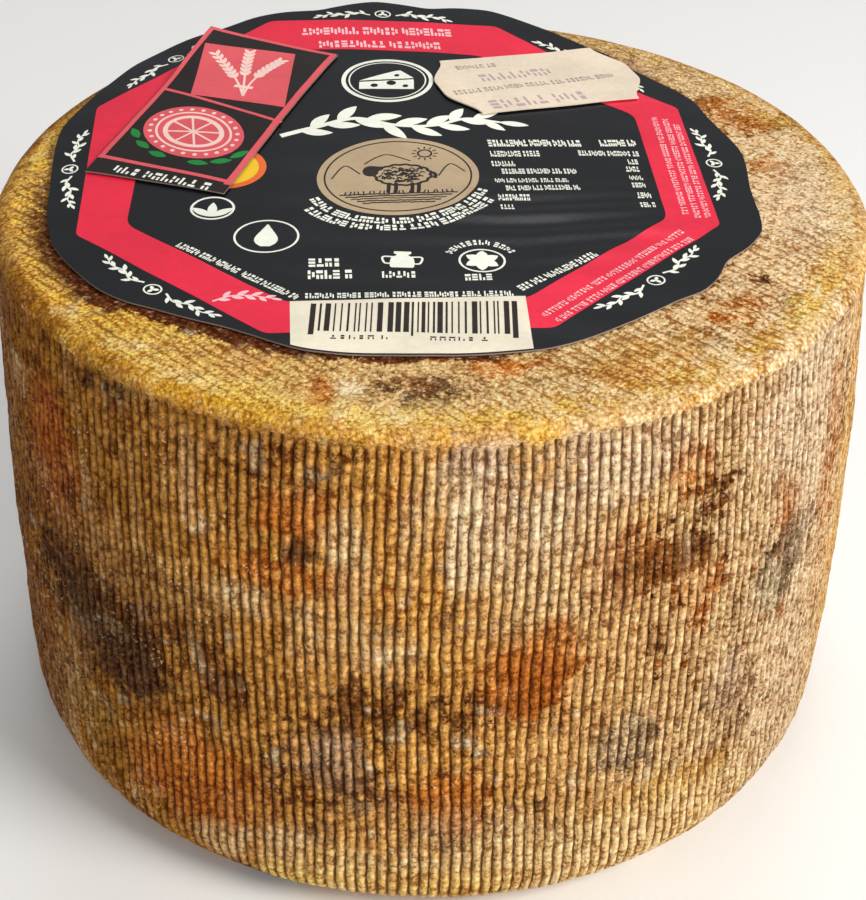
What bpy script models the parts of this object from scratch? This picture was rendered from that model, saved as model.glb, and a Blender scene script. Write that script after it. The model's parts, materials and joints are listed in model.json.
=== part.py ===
# Wheel of cured pressed cheese with a cloth-ribbed rind and three paper labels.
# Metres, +Z up. The wheel stands on its flat foot, centred on the origin, and
# its shown side faces -Y.

import math

import bmesh
import bpy
from mathutils import Matrix

# Wheel
WHEEL_HEIGHT = 0.1016
RIM_RADIUS = 0.075
FOOT_SPREAD = 0.035        # growth of the radius from rim to foot, as a share
BELLY = 0.020              # extra growth at mid-height, as a share
LIP_DROP = 0.0020          # height of the pressed lip above the ribs
LIP_INSET = 0.0030         # how far in from the rim the lip starts
FOOT_ROUND = 0.011         # radius of the bottom edge
FOOT_ANGLES = (40, 90)     # degrees round the bottom edge where it has corners
SIDE_BANDS = 3

# Ribs pressed in by the cloth
RIB_COUNT = 270
RIB_DEPTH = 0.0005
RIB_WANDER = 0.0005        # sideways wander of a rib along its height
RIBS_START = 1.3           # where the ribs reach full depth, in lip drops

# Unevenness of the pressed top and side
CROWN = 0.0007
SWELLING = 0.0050          # height of the swollen place on the top
SWELLING_AT = (-0.0264, 0.0446)
SWELLING_WIDTH = 0.0355
SWELLING_AT_RIM = 0.4      # share of the swelling that reaches the rim
SWELLING_FADES = 0.82      # share of the rim's radius where it starts to fade
TOP_DEPTH = 0.3            # share of the height that the top's unevenness reaches down
SIDE_WAVE = 0.00025
TOP_REACH = 0.060          # radius of the top's coarse middle
TOP_RINGS = (0.016, 0.032, 0.047, TOP_REACH)
TOP_SEGMENTS = 60

# Labels
PAPER = 0.0003
GAP = 0.0003
LABEL_CENTRE = (-0.0048, 0.0057)
LABEL_RADIUS = 0.0616
SCALLOPS = 16
SCALLOP_DEPTH = 0.0011
SCALLOP_TURN = math.radians(5.5)
LABEL_RINGS = 5
LABEL_SEGMENTS = 80
BACK_CURL = 0.0026         # how far the round label's back edge lifts
CURL_STARTS = 0.0406
CURL_LENGTH = 0.027

TAG_CENTRE = (-0.0398, 0.0213)
TAG_SIZE = (0.0265, 0.0540)
TAG_TURN = math.radians(-18.5)
TAG_GRID = (4, 7)
TAG_LIFT = 0.0022          # how far the tag's upper left corner lifts

STICKER_CENTRE = (0.0197, 0.0385)
STICKER_SIZE = (0.0320, 0.0220)
STICKER_POINT = 0.0042     # how far its two short ends bulge
STICKER_TURN = math.radians(21.7)
STICKER_GRID = (4, 6)


def clear_scene():
    for thing in list(bpy.data.objects):
        bpy.data.objects.remove(thing, do_unlink=True)


def smooth_step(value):
    value = min(max(value, 0.0), 1.0)
    return value * value * (3.0 - 2.0 * value)


def make_material(name, colour, roughness):
    material = bpy.data.materials.new(name)
    material.use_nodes = True
    shader = material.node_tree.nodes["Principled BSDF"]
    shader.inputs["Base Color"].default_value = (*colour, 1.0)
    shader.inputs["Roughness"].default_value = roughness
    shader.inputs["Metallic"].default_value = 0.0
    return material


# Surface heights

def side_radius(height):
    """Radius of the side before the ribs, at a height above the foot."""
    share = min(max(height / WHEEL_HEIGHT, 0.0), 1.0)
    return RIM_RADIUS * (1 + FOOT_SPREAD * (1 - share) + BELLY * 4 * share * (1 - share))


def swelling(x, y):
    across = (x - SWELLING_AT[0]) ** 2 + (y - SWELLING_AT[1]) ** 2
    return SWELLING * math.exp(-across / (2 * SWELLING_WIDTH ** 2))


def rise(x, y):
    """Height of the top above a flat plane at WHEEL_HEIGHT, before the edge's round."""
    out = math.hypot(x, y)
    near_rim = smooth_step((out / RIM_RADIUS - SWELLING_FADES) / (1 - SWELLING_FADES))
    kept = 1 - (1 - SWELLING_AT_RIM) * near_rim
    return CROWN * (1 - (out / RIM_RADIUS) ** 2) + kept * swelling(x, y)


def paper_height(x, y):
    """Underside of the round label, which bridges what it lies on and curls up behind."""
    out = math.hypot(x, y) / RIM_RADIUS
    curl = min(max((y - CURL_STARTS) / CURL_LENGTH, 0.0), 1.0) ** 2
    flat = WHEEL_HEIGHT + CROWN * (1 - out ** 2) + swelling(x, y)
    return flat + BACK_CURL * curl + GAP


# Wheel

def side_profile():
    """Outline of the side at +X, from the inside of the lip down to the foot."""
    lip_out = side_radius(WHEEL_HEIGHT - LIP_DROP)
    points = [(RIM_RADIUS - LIP_INSET, WHEEL_HEIGHT)]
    points.append((RIM_RADIUS - 0.3 * LIP_INSET, WHEEL_HEIGHT - 0.18 * LIP_DROP))
    points.append((lip_out + RIB_DEPTH, WHEEL_HEIGHT - 0.75 * LIP_DROP))
    rib_top = WHEEL_HEIGHT - RIBS_START * LIP_DROP
    for step in range(SIDE_BANDS + 1):
        height = rib_top + (FOOT_ROUND - rib_top) * step / SIDE_BANDS
        points.append((side_radius(height), height))
    middle = side_radius(FOOT_ROUND) - FOOT_ROUND
    for angle in FOOT_ANGLES:
        turn = math.radians(angle)
        points.append((middle + FOOT_ROUND * math.cos(turn), FOOT_ROUND * (1 - math.sin(turn))))
    return points


def turned_mesh(name, points, steps, collection):
    """A profile turned round Z with a Screw modifier, which is then applied."""
    mesh = bpy.data.meshes.new(name)
    edges = [(i, i + 1) for i in range(len(points) - 1)]
    mesh.from_pydata([(radius, 0.0, height) for radius, height in points], edges, [])
    turned = bpy.data.objects.new(name, mesh)
    collection.objects.link(turned)
    screw = turned.modifiers.new("turn", "SCREW")
    screw.steps = steps
    screw.render_steps = steps
    screw.use_merge_vertices = True
    screw.merge_threshold = 0.00001
    bpy.context.view_layer.objects.active = turned
    bpy.ops.object.modifier_apply(modifier="turn")
    return turned


def rim_loop(bm, radius):
    """Boundary edges whose two ends lie at a radius from the axis."""
    def at_radius(vertex):
        return abs(math.hypot(vertex.co.x, vertex.co.y) - radius) < 1e-5

    return [edge for edge in bm.edges if edge.is_boundary and all(at_radius(v) for v in edge.verts)]


def rib_relief(angle, height):
    """Depth of a groove at an angle and height: nothing on the lip and on the foot."""
    groove = 0.5 - 0.5 * math.cos(RIB_COUNT * angle)
    below_lip = smooth_step((WHEEL_HEIGHT - LIP_DROP - height) / ((RIBS_START - 1) * LIP_DROP))
    above_foot = smooth_step(height / (0.35 * FOOT_ROUND))
    return RIB_DEPTH * groove * below_lip * above_foot


def shape_rind(vertex):
    """Presses ribs into the side and lets the top and side go uneven."""
    x, y, height = vertex.co
    out = math.hypot(x, y)
    if out < 1e-6:
        vertex.co.z = height + rise(x, y)
        return
    angle = math.atan2(y, x)
    if height > 1e-5:
        wave = math.sin(2 * angle + 0.7) + 0.6 * math.sin(5 * angle + 40 * height)
        out += SIDE_WAVE * wave * smooth_step(out / RIM_RADIUS) - rib_relief(angle, height)
        wander = math.sin(3 * angle + 55 * height) * smooth_step(height / WHEEL_HEIGHT * 4)
        angle += RIB_WANDER * wander / RIM_RADIUS
    lift = rise(out * math.cos(angle), out * math.sin(angle))
    near_top = smooth_step((height / WHEEL_HEIGHT - 1 + TOP_DEPTH) / TOP_DEPTH)
    vertex.co = (out * math.cos(angle), out * math.sin(angle), height + lift * near_top)


def make_wheel(collection):
    points = side_profile()
    side = turned_mesh("cheese_wheel", points, 2 * RIB_COUNT, collection)
    top_points = [(radius, WHEEL_HEIGHT) for radius in (0.0, *TOP_RINGS)]
    top = turned_mesh("top_middle", top_points, TOP_SEGMENTS, collection)
    bm = bmesh.new()
    bm.from_mesh(side.data)
    bm.from_mesh(top.data)
    bpy.data.objects.remove(top, do_unlink=True)
    bmesh.ops.remove_doubles(bm, verts=bm.verts, dist=1e-6)
    foot = rim_loop(bm, points[-1][0])
    bmesh.ops.contextual_create(bm, geom=foot)
    shoulder = rim_loop(bm, points[0][0]) + rim_loop(bm, TOP_REACH)
    bmesh.ops.bridge_loops(bm, edges=shoulder)
    for vertex in bm.verts:
        shape_rind(vertex)
    bmesh.ops.recalc_face_normals(bm, faces=bm.faces)
    bm.to_mesh(side.data)
    bm.free()
    side.data.shade_smooth()
    side.data.set_sharp_from_angle(angle=math.radians(60))
    side.data.materials.append(make_material("rind", (0.36, 0.21, 0.09), 0.78))
    return side


# Labels

def thicken(thing):
    """Paper thickness, added on top of the modelled underside."""
    solid = thing.modifiers.new("paper", "SOLIDIFY")
    solid.thickness = PAPER
    solid.offset = 1.0


def finish_label(name, bm, material, collection):
    mesh = bpy.data.meshes.new(name)
    bmesh.ops.recalc_face_normals(bm, faces=bm.faces)
    if sum(face.normal.z for face in bm.faces) < 0:
        bmesh.ops.reverse_faces(bm, faces=bm.faces)
    bm.to_mesh(mesh)
    bm.free()
    label = bpy.data.objects.new(name, mesh)
    collection.objects.link(label)
    thicken(label)
    mesh.materials.append(material)
    return label


def scalloped_radius(angle):
    return LABEL_RADIUS + SCALLOP_DEPTH * math.cos(SCALLOPS * (angle - SCALLOP_TURN))


def make_round_label(collection):
    """Disc of paper with a scalloped edge, laid over the top."""
    rings = [(ring / LABEL_RINGS, 0.0) for ring in range(LABEL_RINGS + 1)]
    disc = turned_mesh("label_disc", rings, LABEL_SEGMENTS, collection)
    bm = bmesh.new()
    bm.from_mesh(disc.data)
    bpy.data.objects.remove(disc, do_unlink=True)
    bmesh.ops.remove_doubles(bm, verts=bm.verts, dist=1e-5)
    for vertex in bm.verts:
        share = math.hypot(vertex.co.x, vertex.co.y)
        angle = math.atan2(vertex.co.y, vertex.co.x)
        edge = LABEL_RADIUS + (scalloped_radius(angle) - LABEL_RADIUS) * share ** 4
        x = LABEL_CENTRE[0] + share * edge * math.cos(angle)
        y = LABEL_CENTRE[1] + share * edge * math.sin(angle)
        vertex.co = (x, y, paper_height(x, y))
    paper = make_material("round_label_print", (0.012, 0.014, 0.022), 0.30)
    return finish_label("round_label", bm, paper, collection)


def grid_sheet(cells, size):
    """Flat grid centred on the origin, with cells along X and Y."""
    bm = bmesh.new()
    bmesh.ops.create_grid(bm, x_segments=cells[0], y_segments=cells[1], size=0.5)
    bmesh.ops.scale(bm, vec=(size[0], size[1], 1.0), verts=bm.verts)
    return bm


def lay_on_label(bm, centre, turn, lift):
    """Turns a sheet, moves it to its centre and drapes it over the round label."""
    local = [vertex.co.copy() for vertex in bm.verts]
    place = Matrix.Translation((*centre, 0.0)) @ Matrix.Rotation(turn, 4, "Z")
    bmesh.ops.transform(bm, matrix=place, verts=bm.verts)
    for vertex, before in zip(bm.verts, local):
        base = paper_height(vertex.co.x, vertex.co.y) + PAPER + GAP
        vertex.co.z = base + lift(before.x, before.y)


def tag_lift(x, y):
    """Lift of the tag towards its upper left corner."""
    left = 0.5 - x / TAG_SIZE[0]
    up = smooth_step((y / TAG_SIZE[1] - 0.05) / 0.45)
    return TAG_LIFT * left ** 2 * up


def make_square_tag(collection):
    bm = grid_sheet(TAG_GRID, TAG_SIZE)
    lay_on_label(bm, TAG_CENTRE, TAG_TURN, tag_lift)
    paper = make_material("tag_print", (0.030, 0.018, 0.018), 0.38)
    return finish_label("square_tag", bm, paper, collection)


def make_date_sticker(collection):
    """Small sticker whose short ends bulge to blunt points."""
    bm = grid_sheet(STICKER_GRID, STICKER_SIZE)
    for vertex in bm.verts:
        across = abs(vertex.co.y) / (0.5 * STICKER_SIZE[1])
        bulge = STICKER_POINT * smooth_step(1.25 * (1 - across))
        vertex.co.x += 2 * vertex.co.x / STICKER_SIZE[0] * bulge
    lay_on_label(bm, STICKER_CENTRE, STICKER_TURN, lambda x, y: 0.0)
    paper = make_material("sticker_paper", (0.72, 0.66, 0.58), 0.55)
    return finish_label("date_sticker", bm, paper, collection)


def build():
    clear_scene()
    cheese = bpy.data.collections.new("cheese wheel")
    bpy.context.scene.collection.children.link(cheese)
    make_wheel(cheese)
    make_round_label(cheese)
    make_square_tag(cheese)
    make_date_sticker(cheese)


build()
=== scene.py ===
# A cured pressed cheese wheel: ribbed rind, printed paper labels, soft studio light.
import itertools
import json
import math
import random

import bpy
import numpy as np
from mathutils import Matrix, Vector

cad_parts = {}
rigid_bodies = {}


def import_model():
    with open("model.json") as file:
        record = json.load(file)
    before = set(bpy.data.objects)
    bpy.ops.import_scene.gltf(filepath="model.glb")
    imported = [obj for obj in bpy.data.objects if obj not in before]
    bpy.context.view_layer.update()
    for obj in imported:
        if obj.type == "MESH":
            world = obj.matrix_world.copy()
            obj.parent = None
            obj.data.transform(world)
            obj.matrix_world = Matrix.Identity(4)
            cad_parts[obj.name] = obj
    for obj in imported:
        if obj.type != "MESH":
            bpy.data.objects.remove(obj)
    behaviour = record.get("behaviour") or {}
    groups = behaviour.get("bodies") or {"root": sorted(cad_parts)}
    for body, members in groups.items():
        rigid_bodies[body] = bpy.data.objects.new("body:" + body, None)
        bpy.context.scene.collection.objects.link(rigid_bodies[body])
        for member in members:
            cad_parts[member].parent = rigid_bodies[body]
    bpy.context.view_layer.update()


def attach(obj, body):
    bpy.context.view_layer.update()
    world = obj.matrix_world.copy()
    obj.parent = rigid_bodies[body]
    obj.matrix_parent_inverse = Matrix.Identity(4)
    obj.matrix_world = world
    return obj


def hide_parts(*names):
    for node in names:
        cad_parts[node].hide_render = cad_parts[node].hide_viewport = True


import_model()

mm = 0.001

# The wheel's own shape, the same sizes as its solid.
wheel = {
    "height": 101.6 * mm,
    "rim": 75.0 * mm,
    "footSpread": 0.035,
    "belly": 0.020,
    "footRound": 11.0 * mm,
    "lipDrop": 2.0 * mm,
    "lipInset": 3.0 * mm,
    "ribs": 270,
    "ribDepth": 0.58 * mm,
    "ribWander": 0.50 * mm,
    "crown": 0.7 * mm,
    "swelling": 5.0 * mm,
    "swellingAt": (-26.4 * mm, 44.6 * mm),
    "swellingWidth": 35.5 * mm,
    "swellingAtRim": 0.4,
    "sideWave": 0.25 * mm,
}


# Small helpers

def makeActive(thing):
    for other in bpy.context.view_layer.objects:
        other.select_set(False)
    thing.select_set(True)
    bpy.context.view_layer.objects.active = thing


def startEdit(piece):
    makeActive(piece)
    bpy.ops.object.mode_set(mode="EDIT")
    bpy.ops.mesh.select_all(action="SELECT")


def endEdit():
    bpy.ops.object.mode_set(mode="OBJECT")


def smoothStep(low, high, value):
    share = np.clip((value - low) / (high - low), 0.0, 1.0)
    return share * share * (3.0 - 2.0 * share)


def bell(value, middle, width):
    return np.exp(-((value - middle) / width) ** 2)


def softNoise(points, size, seed):
    # Smooth lattice noise from -1 to 1, one value for each row of points.
    place = np.asarray(points, float) / size + 31.7 * seed
    cell = np.floor(place).astype(np.int64)
    part = place - cell
    part = part * part * (3.0 - 2.0 * part)
    total = np.zeros(len(place))
    for corner in itertools.product((0, 1), repeat=3):
        step = np.array(corner)
        weight = np.prod(np.where(step == 1, part, 1.0 - part), axis=1)
        grid = cell + step
        mixed = grid[:, 0] * 374761393 + grid[:, 1] * 668265263 + grid[:, 2] * 951274213 + seed * 7919
        mixed = (mixed ^ (mixed >> 13)) * 1274126177
        mixed = (mixed ^ (mixed >> 16)) & 0xFFFF
        total += weight * (mixed / 32767.5 - 1.0)
    return total


def readPoints(thing):
    points = np.empty(len(thing.data.vertices) * 3)
    thing.data.vertices.foreach_get("co", points)
    return points.reshape(-1, 3)


def writePoints(thing, points):
    thing.data.vertices.foreach_set("co", np.asarray(points, float).ravel())
    thing.data.update()


def namedPiece(name):
    # The object that the last operator made, under its own name.
    piece = bpy.context.object
    piece.name = piece.data.name = name
    return piece


# Node helpers

class Nodes:
    def __init__(self, name, roughness):
        self.material = bpy.data.materials.new(name)
        self.material.use_nodes = True
        self.tree = self.material.node_tree
        self.shader = self.tree.nodes["Principled BSDF"]
        self.give("Roughness", roughness)

    def add(self, kind, **settings):
        node = self.tree.nodes.new(kind)
        for key, value in settings.items():
            setattr(node, key, value)
        return node

    def plug(self, source, socket):
        if isinstance(source, (int, float)):
            socket.default_value = source
        elif isinstance(source, tuple):
            socket.default_value = (*source, 1.0) if len(socket.default_value) == 4 else source
        else:
            self.tree.links.new(source, socket)

    def give(self, name, source):
        # To a socket of the shader itself.
        self.plug(source, self.shader.inputs[name])

    def maths(self, operation, *sources):
        node = self.add("ShaderNodeMath", operation=operation)
        for source, socket in zip(sources + (0.0, 0.0), node.inputs):
            self.plug(source, socket)
        return node.outputs[0]

    def vary(self, value, noise, strength):
        # Adds a noise that has its middle at a half.
        return self.maths("MULTIPLY_ADD", self.maths("SUBTRACT", noise, 0.5), strength, value)

    def fromHalf(self, value):
        # How far the fraction of a number is from a half.
        return self.maths("ABSOLUTE", self.maths("SUBTRACT", self.maths("FRACT", value), 0.5))

    def mix(self, share, first, second, blend="MIX", kind="RGBA"):
        node = self.add("ShaderNodeMix", data_type=kind, blend_type=blend)
        for source, name in ((share, "Factor"), (first, "A"), (second, "B")):
            self.plug(source, node.inputs[name])
        return node.outputs["Result"]

    def times(self, colour, factor):
        return self.mix(1.0, colour, factor, "MULTIPLY")

    def ramp(self, value, low, high, bottom=0.0, top=1.0):
        node = self.add("ShaderNodeMapRange", interpolation_type="SMOOTHSTEP")
        for source, name in ((value, "Value"), (low, "From Min"), (high, "From Max"),
                             (bottom, "To Min"), (top, "To Max")):
            self.plug(source, node.inputs[name])
        return node.outputs["Result"]

    def texture(self, kind, place, **values):
        node = self.add("ShaderNodeTex" + kind)
        self.plug(place, node.inputs["Vector"])
        for name, value in values.items():
            node.inputs[name].default_value = value
        return node.outputs

    def noise(self, place, scale, detail=3.0, roughness=0.55):
        return self.texture("Noise", place, Scale=scale, Detail=detail, Roughness=roughness)["Fac"]

    def cells(self, place, scale, randomness=1.0):
        # The distance from the middle of a cell, and a tone of the cell's own.
        found = self.texture("Voronoi", place, Scale=scale, Randomness=randomness)
        tone = self.add("ShaderNodeSeparateColor")
        self.plug(found["Color"], tone.inputs[0])
        return found["Distance"], tone.outputs[0]

    def split(self, vector):
        node = self.add("ShaderNodeSeparateXYZ")
        self.plug(vector, node.inputs[0])
        return node.outputs["X"], node.outputs["Y"]

    def attribute(self, name, part):
        return self.add("ShaderNodeAttribute", attribute_name=name).outputs[part]

    def objectPlace(self):
        return self.add("ShaderNodeTexCoord").outputs["Object"]

    def bump(self, height, distance):
        node = self.add("ShaderNodeBump")
        self.plug(height, node.inputs["Height"])
        node.inputs["Distance"].default_value = distance
        self.give("Normal", node.outputs["Normal"])


# Camera, floor and light

def makeCamera():
    view = {"place": (0.0, -0.30102, 0.25915), "aim": (0.0, 0.0, 0.0456),
            "lens": 76.68, "roll": 0.015, "shift": 0.00396}
    camera = bpy.data.objects.new("viewCamera", bpy.data.cameras.new("viewCamera"))
    bpy.context.scene.collection.objects.link(camera)
    toAim = Vector(view["aim"]) - Vector(view["place"])
    turn = toAim.to_track_quat("-Z", "Y").to_matrix().to_4x4() @ Matrix.Rotation(view["roll"], 4, "Z")
    camera.matrix_world = Matrix.Translation(view["place"]) @ turn
    camera.data.lens = view["lens"]
    camera.data.shift_x = view["shift"]
    camera.data.clip_start = 0.01
    bpy.context.scene.camera = camera


def makeFloor():
    bpy.ops.mesh.primitive_plane_add(size=4.0, location=(0, 0, 0))
    floor = namedPiece("floor")
    finish = Nodes("paleFloor", 0.8)
    finish.give("Base Color", (0.90, 0.90, 0.89))
    floor.data.materials.append(finish.material)


def makeLight(name, place, size, power, colour):
    lamp = bpy.data.lights.new(name, "AREA")
    lamp.shape = "DISK"
    lamp.size = size
    lamp.energy = power
    lamp.color = colour
    holder = bpy.data.objects.new(name, lamp)
    bpy.context.scene.collection.objects.link(holder)
    holder.location = place
    toWheel = Vector((0.0, 0.0, 0.05)) - Vector(place)
    holder.rotation_euler = toWheel.to_track_quat("-Z", "Y").to_euler()


def makeStudio():
    lights = {
        "keyLight": ((0.62, -0.42, 0.62), 0.45, 7.6, (1.0, 0.97, 0.93)),
        "frontLight": ((0.05, -0.95, 0.40), 0.60, 2.6, (1.0, 0.98, 0.95)),
        "topLight": ((0.05, 0.45, 0.95), 0.60, 2.8, (1.0, 1.0, 1.0)),
    }
    for name, settings in lights.items():
        makeLight(name, *settings)
    world = bpy.data.worlds.new("softRoom")
    bpy.context.scene.world = world
    world.use_nodes = True
    back = world.node_tree.nodes["Background"]
    back.inputs["Color"].default_value = (1.0, 1.0, 1.0, 1.0)
    back.inputs["Strength"].default_value = 0.32
    bpy.context.scene.view_settings.view_transform = "Standard"


# Heights that the rind and the papers share

def sideRadius(height):
    share = np.clip(height / wheel["height"], 0.0, 1.0)
    spread = wheel["footSpread"] * (1 - share) + wheel["belly"] * 4 * share * (1 - share)
    return wheel["rim"] * (1 + spread)


def swelling(x, y):
    away = (x - wheel["swellingAt"][0]) ** 2 + (y - wheel["swellingAt"][1]) ** 2
    return wheel["swelling"] * np.exp(-away / (2 * wheel["swellingWidth"] ** 2))


def topRise(x, y):
    # Height of the top above a flat plane, before the round of its edge.
    out = np.hypot(x, y)
    nearRim = smoothStep(0.82 * wheel["rim"], wheel["rim"], out)
    kept = 1 - (1 - wheel["swellingAtRim"]) * nearRim
    return wheel["crown"] * (1 - (out / wheel["rim"]) ** 2) + kept * swelling(x, y)


# Rind

rind = {
    "columnsPerRib": 3,
    "grooveHalfWidth": 0.25,      # of a rib's pitch, from groove to shoulder
    "footRows": 6,
    "sideRows": 78,
    "lipRows": 6,
    "topRows": 18,
    "topStops": 52.0 * mm,
    "lumps": 0.24 * mm,
    "beads": 0.13 * mm,
    "topGrain": 0.20 * mm,
}

# Kinds of colour on the rind, as a painter would name them.
rindColours = {
    "brown": (0.205, 0.074, 0.015),
    "pale": (0.68, 0.44, 0.20),
    "beige": (0.72, 0.52, 0.32),
    "golden": (0.72, 0.40, 0.105),
    "mustard": (0.66, 0.325, 0.024),
    "yellow": (0.92, 0.61, 0.14),
    "orange": (0.54, 0.175, 0.024),
    "rust": (0.37, 0.096, 0.012),
    "olive": (0.30, 0.165, 0.032),
    "dark": (0.085, 0.032, 0.009),
    "umber": (0.115, 0.030, 0.009),
    "charcoal": (0.145, 0.085, 0.040),
    "lilac": (0.52, 0.34, 0.20),
    "grey": (0.42, 0.29, 0.155),
    "cream": (0.88, 0.70, 0.41),
    "wheat": (0.90, 0.60, 0.25),
}

# Ground colour round the side and on the top, by turn from the front in degrees.
sideTones = (
    (-180, (0.42, 0.21, 0.060)), (-90, (0.25, 0.088, 0.006)), (-50, (0.28, 0.104, 0.008)),
    (-20, (0.47, 0.215, 0.042)), (5, (0.62, 0.30, 0.066)), (35, (0.67, 0.42, 0.185)),
    (56, (0.70, 0.48, 0.27)), (76, (0.62, 0.36, 0.14)), (100, (0.58, 0.33, 0.12)),
    (180, (0.42, 0.21, 0.060)),
)
topTones = (
    (-180, (0.56, 0.33, 0.11)), (-90, (0.94, 0.45, 0.045)), (-45, (0.76, 0.42, 0.066)),
    (-10, (0.66, 0.40, 0.145)), (30, (0.76, 0.49, 0.22)), (80, (0.88, 0.60, 0.32)),
    (180, (0.54, 0.32, 0.11)),
)

# Patches: colour, turn from the front (degrees, right is positive), drop from
# the rim down the side (mm, negative on the top), half width and half height (mm), strength.
rindPatches = [
    ("dark", -41, 5, 10, 4, 0.5), ("rust", -53, 24, 8, 12, 0.75), ("orange", -15, 17, 5, 5, 0.85),
    ("dark", -14.5, 23, 2.6, 3, 0.8), ("pale", -9, 20, 4, 5, 0.6), ("orange", -18, 28, 11, 3.6, 0.65),
    ("pale", -22, 34, 6, 4, 0.6), ("dark", -48, 50, 17, 9, 0.90), ("dark", -42, 60, 9, 7, 0.90),
    ("brown", -25, 52, 5, 6, 0.75), ("orange", -31, 77, 13, 11, 0.70), ("rust", -33, 80, 9, 7, 0.45),
    ("orange", -27, 72, 6, 6, 0.45), ("olive", -50, 76, 11, 10, 0.5), ("brown", -62, 80, 10, 14, 0.6),
    ("lilac", -12, 64, 6, 6, 0.55), ("pale", -16, 86, 7, 4, 0.6), ("mustard", -12, 87, 6, 3, 0.6),
    ("pale", -27, 90, 5, 4, 0.55), ("dark", -22, 99, 7, 3.2, 0.7), ("lilac", 5, 4, 5, 4, 0.7),
    ("beige", 11, 14, 15, 11, 0.50), ("cream", 4, 14, 2.6, 4, 0.5), ("cream", 4, 24, 2.8, 5, 0.45),
    ("cream", 13, 17, 2.6, 6, 0.4), ("pale", 13, 30, 12, 12, 0.55), ("orange", 12.5, 44, 7, 9, 0.85),
    ("rust", 12.5, 47, 5, 6, 0.7), ("orange", 3, 71, 6, 5, 0.8), ("rust", 4, 77, 5, 3, 0.6),
    ("grey", 25, 65, 6, 7, 0.6), ("brown", -14, 71, 12, 8, 0.45), ("brown", -3, 52, 16, 5, 0.35),
    ("brown", -20, 8, 14, 7, 0.40), ("pale", -8, 40, 9, 6, 0.40), ("beige", 24, 8, 14, 7, 0.55),
    ("golden", -36, 36, 14, 6, 0.50), ("rust", 24, 27, 7, 8, 0.40), ("brown", 19, 82, 9, 5, 0.45),
    ("beige", 50, 12, 9, 12, 0.75), ("orange", 32, 14, 4, 6, 0.45), ("orange", 35, 37, 5, 8, 0.4),
    ("orange", 50, 31, 4, 6, 0.55), ("brown", 31, 29, 10, 4.5, 0.75), ("brown", 36, 20, 5, 5, 0.55),
    ("charcoal", 49, 43, 7, 9, 0.62), ("cream", 47, 46, 4, 5, 0.35), ("lilac", 41, 59, 5, 6, 0.55),
    ("lilac", 43, 66, 4, 4, 0.45), ("golden", 29, 80, 16, 4.5, 0.75), ("wheat", 24, 90, 28, 9, 0.85),
    ("wheat", -8, 93, 15, 6, 0.65), ("yellow", -17, 95, 6, 4, 0.60), ("pale", 8, 84, 30, 9, 0.40),
    ("mustard", 0, 93, 18, 4, 0.45), ("beige", 55, 16, 8, 20, 0.6), ("golden", 74, 50, 9, 46, 0.45),
    ("orange", 62, 34, 4, 22, 0.35), ("brown", -72, 50, 15, 48, 0.6), ("brown", -58, 66, 14, 10, 0.55),
    ("brown", -34, 40, 12, 8, 0.50), ("brown", -48, 34, 13, 9, 0.45),
    ("charcoal", -1, -10.5, 9.0, 3.8, 0.46), ("brown", -4, -13.5, 7, 2.5, 0.4),
    ("orange", -14, -7, 2.6, 5.5, 0.75), ("rust", -15, -10, 2.2, 3, 0.5),
    ("cream", -11, -10.5, 2.6, 2.4, 0.7), ("cream", -6, -2.5, 4.5, 2.4, 0.65),
    ("orange", 12, -16, 7, 2.4, 0.75), ("golden", -24, -10, 9, 4, 0.5), ("olive", -21, -1, 8, 2.4, 0.45),
    ("cream", -30, -3, 6, 2.2, 0.5), ("orange", 27, -9, 6, 3.4, 0.6), ("brown", 24, -12, 8, 2.6, 0.45),
    ("cream", 36, -2, 4, 1.6, 0.7), ("orange", 33, -5, 4, 2.4, 0.5), ("brown", 42, -11, 5, 4, 0.35),
    ("cream", 41, -7, 3.4, 2.4, 0.5), ("orange", 50, -12, 9, 4, 0.55), ("yellow", 60, -3, 9, 3, 0.35),
    ("orange", 68, -5, 9, 3.4, 0.40), ("golden", 30, -12, 16, 4, 0.50), ("orange", 46, -4, 6, 2.6, 0.40),
    ("orange", 118, -11, 9, 6, 0.45), ("orange", 100, -14, 6, 4, 0.35), ("beige", 84, -7, 20, 8, 0.5),
    ("golden", -85, -6, 24, 10, 0.30), ("brown", -60, -10, 10, 4, 0.25),
]


def rindProfile():
    # Outline of the wheel from the middle of its foot, up the side, to the middle of its top.
    rows = [(0.0, 0.0)]
    foot, top = wheel["footRound"], wheel["height"]
    middle = sideRadius(foot) - foot
    for turn in math.pi / 2 * np.arange(rind["footRows"]) / rind["footRows"]:
        rows.append((middle + foot * math.sin(turn), foot * (1 - math.cos(turn))))
    ribTop = top - 1.3 * wheel["lipDrop"]
    for step in range(rind["sideRows"] + 1):
        height = foot + (ribTop - foot) * step / rind["sideRows"]
        rows.append((sideRadius(height), height))
    lipOut = sideRadius(ribTop) + wheel["ribDepth"]
    lipIn = wheel["rim"] - wheel["lipInset"]
    for turn in math.pi / 2 * np.arange(1, rind["lipRows"] + 1) / rind["lipRows"]:
        rows.append((lipIn + (lipOut - lipIn) * math.cos(turn) ** 0.75,
                     ribTop + (top - ribTop) * math.sin(turn) ** 0.9))
    for step in range(1, rind["topRows"] + 1):
        rows.append((lipIn + (rind["topStops"] - lipIn) * step / rind["topRows"], top))
    return rows + [(0.5 * rind["topStops"], top), (0.0, top)]


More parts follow.
